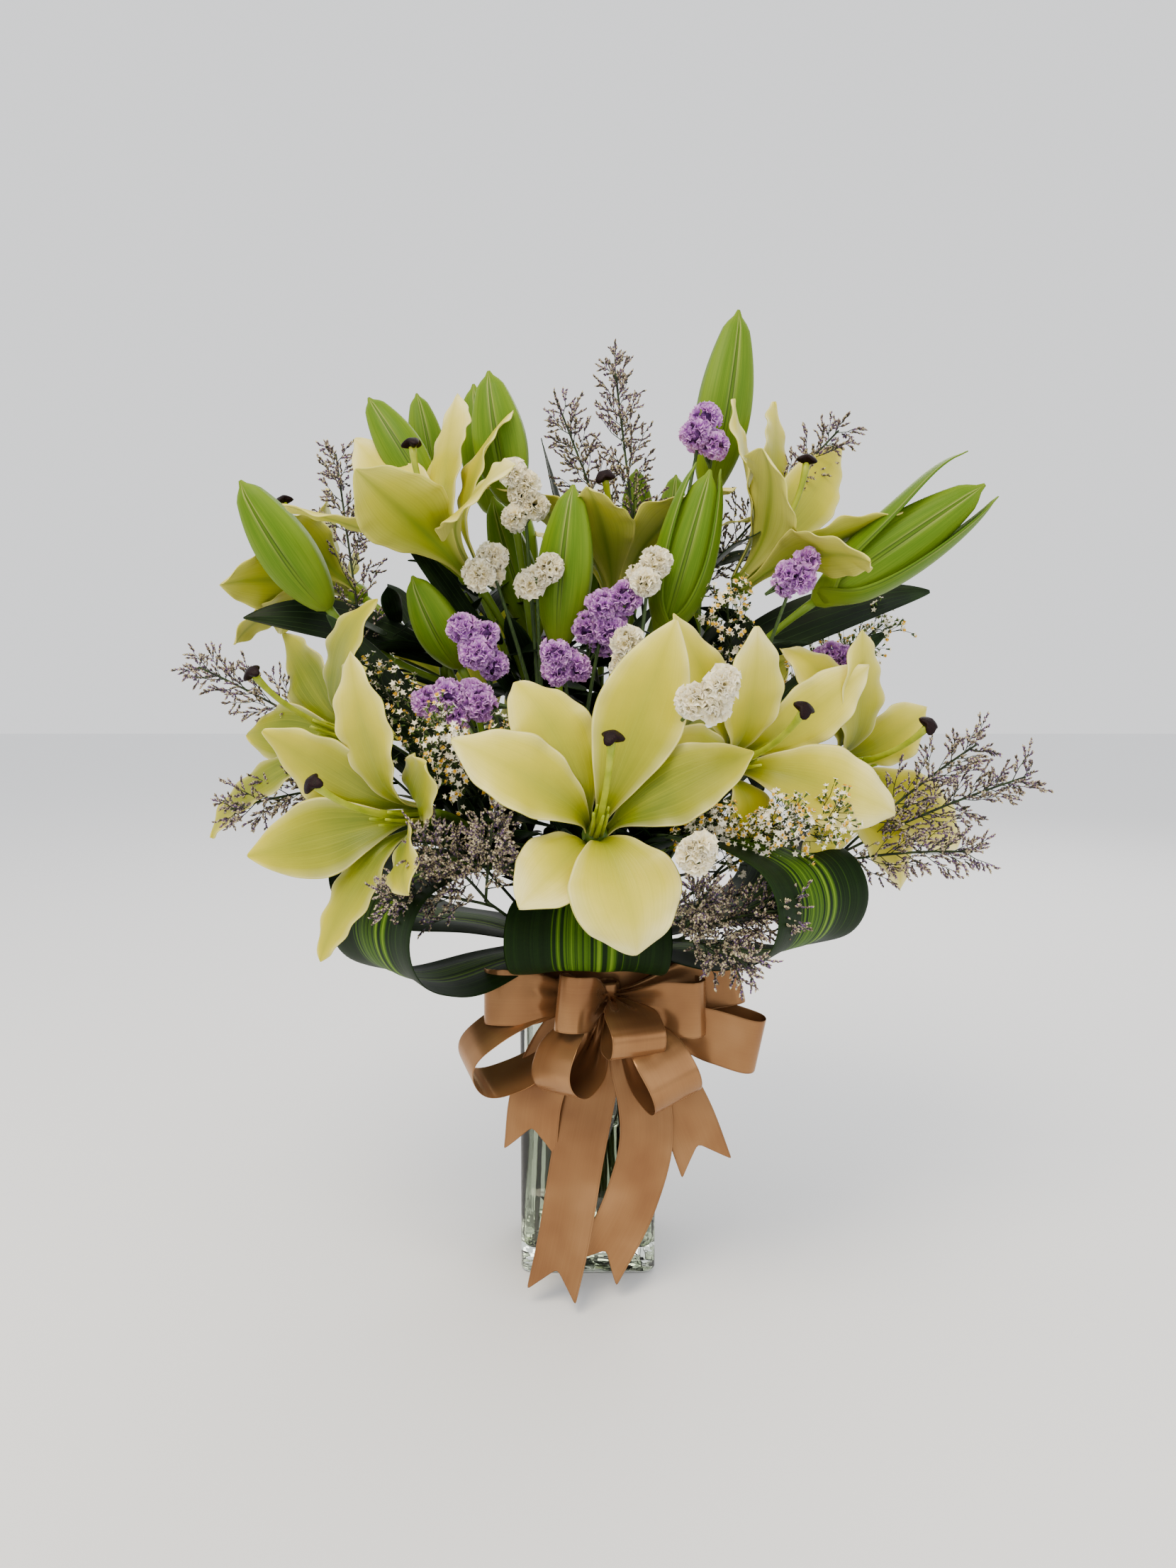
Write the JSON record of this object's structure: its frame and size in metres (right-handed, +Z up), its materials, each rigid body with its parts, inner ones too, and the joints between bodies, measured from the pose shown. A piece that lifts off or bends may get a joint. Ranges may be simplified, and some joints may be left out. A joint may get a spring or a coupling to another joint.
{
  "type": "lilies in a vase",
  "caption": "Square glass vase of water holding cut lilies and buds with statice and sea lavender, folded striped leaves on the rim and a satin ribbon bow on the neck.",
  "frame": {"origin": "middle of the vase's foot, on the surface that it stands on", "axes": "+Z up through the vase, -Y towards the front of the bouquet where the bow is, +X to the right seen from the front"},
  "size_m": [0.6142, 0.4132, 0.7127],
  "materials": {
    "vase": "polished",
    "water": "polished",
    "petal": "satin",
    "pistil": "satin",
    "lily_green": "satin",
    "collar_leaf": "satin",
    "ribbon": "satin",
    "statice_purple": "matte",
    "statice_white": "matte",
    "sea_lavender_star": "matte",
    "sea_lavender_mist": "matte"
  },
  "bodies": {
    "root": {"vase": "vase", "lily_stalk_front": "lily_green", "lily_stalk_right": "lily_green", "lily_stalk_left": "lily_green", "lily_stalk_upper_left": "lily_green", "lily_stalk_middle": "lily_green", "lily_stalk_upper_right": "lily_green", "lily_stalk_far_left": "lily_green", "lily_stalk_back": "lily_green", "statice_purple_left": "statice_purple", "statice_purple_middle": "statice_purple", "statice_purple_top": "statice_purple", "statice_purple_right": "statice_purple", "statice_purple_back": "statice_purple", "statice_white_left": "statice_white", "statice_white_middle": "statice_white", "statice_white_low": "statice_white", "sea_lavender_star_left": "sea_lavender_star", "sea_lavender_star_right": "sea_lavender_star", "sea_lavender_star_low": "sea_lavender_star", "sea_lavender_mist_left": "sea_lavender_mist", "sea_lavender_mist_right": "sea_lavender_mist", "sea_lavender_mist_outer": "sea_lavender_mist", "sea_lavender_mist_top": "sea_lavender_mist", "sea_lavender_mist_outer_left": "sea_lavender_mist", "lily_bloom_front": "petal", "lily_pistil_front": "pistil", "lily_bloom_right": "petal", "lily_pistil_right": "pistil", "lily_bloom_far_right": "petal", "lily_pistil_far_right": "pistil", "lily_bloom_left": "petal", "lily_pistil_left": "pistil", "lily_bloom_far_left": "petal", "lily_pistil_far_left": "pistil", "lily_bloom_upper_left": "petal", "lily_pistil_upper_left": "pistil", "lily_bloom_middle": "petal", "lily_pistil_middle": "pistil", "lily_bloom_upper_right": "petal", "lily_pistil_upper_right": "pistil", "lily_bloom_outer_left": "petal", "lily_pistil_outer_left": "pistil", "lily_bloom_back_right": "petal", "lily_pistil_back_right": "pistil", "lily_bloom_back_left": "petal", "lily_pistil_back_left": "pistil", "bow_band": "ribbon", "bow_loops": "ribbon", "bow_tail_left": "ribbon", "bow_tail_middle_left": "ribbon", "bow_tail_middle_right": "ribbon", "bow_tail_right": "ribbon", "collar_leaf_front": "collar_leaf", "collar_leaf_right_front": "collar_leaf", "collar_leaf_right_back": "collar_leaf", "collar_leaf_back": "collar_leaf", "collar_leaf_left_back": "collar_leaf", "collar_leaf_left_front": "collar_leaf", "water": "water"}
  },
  "joints": []
}
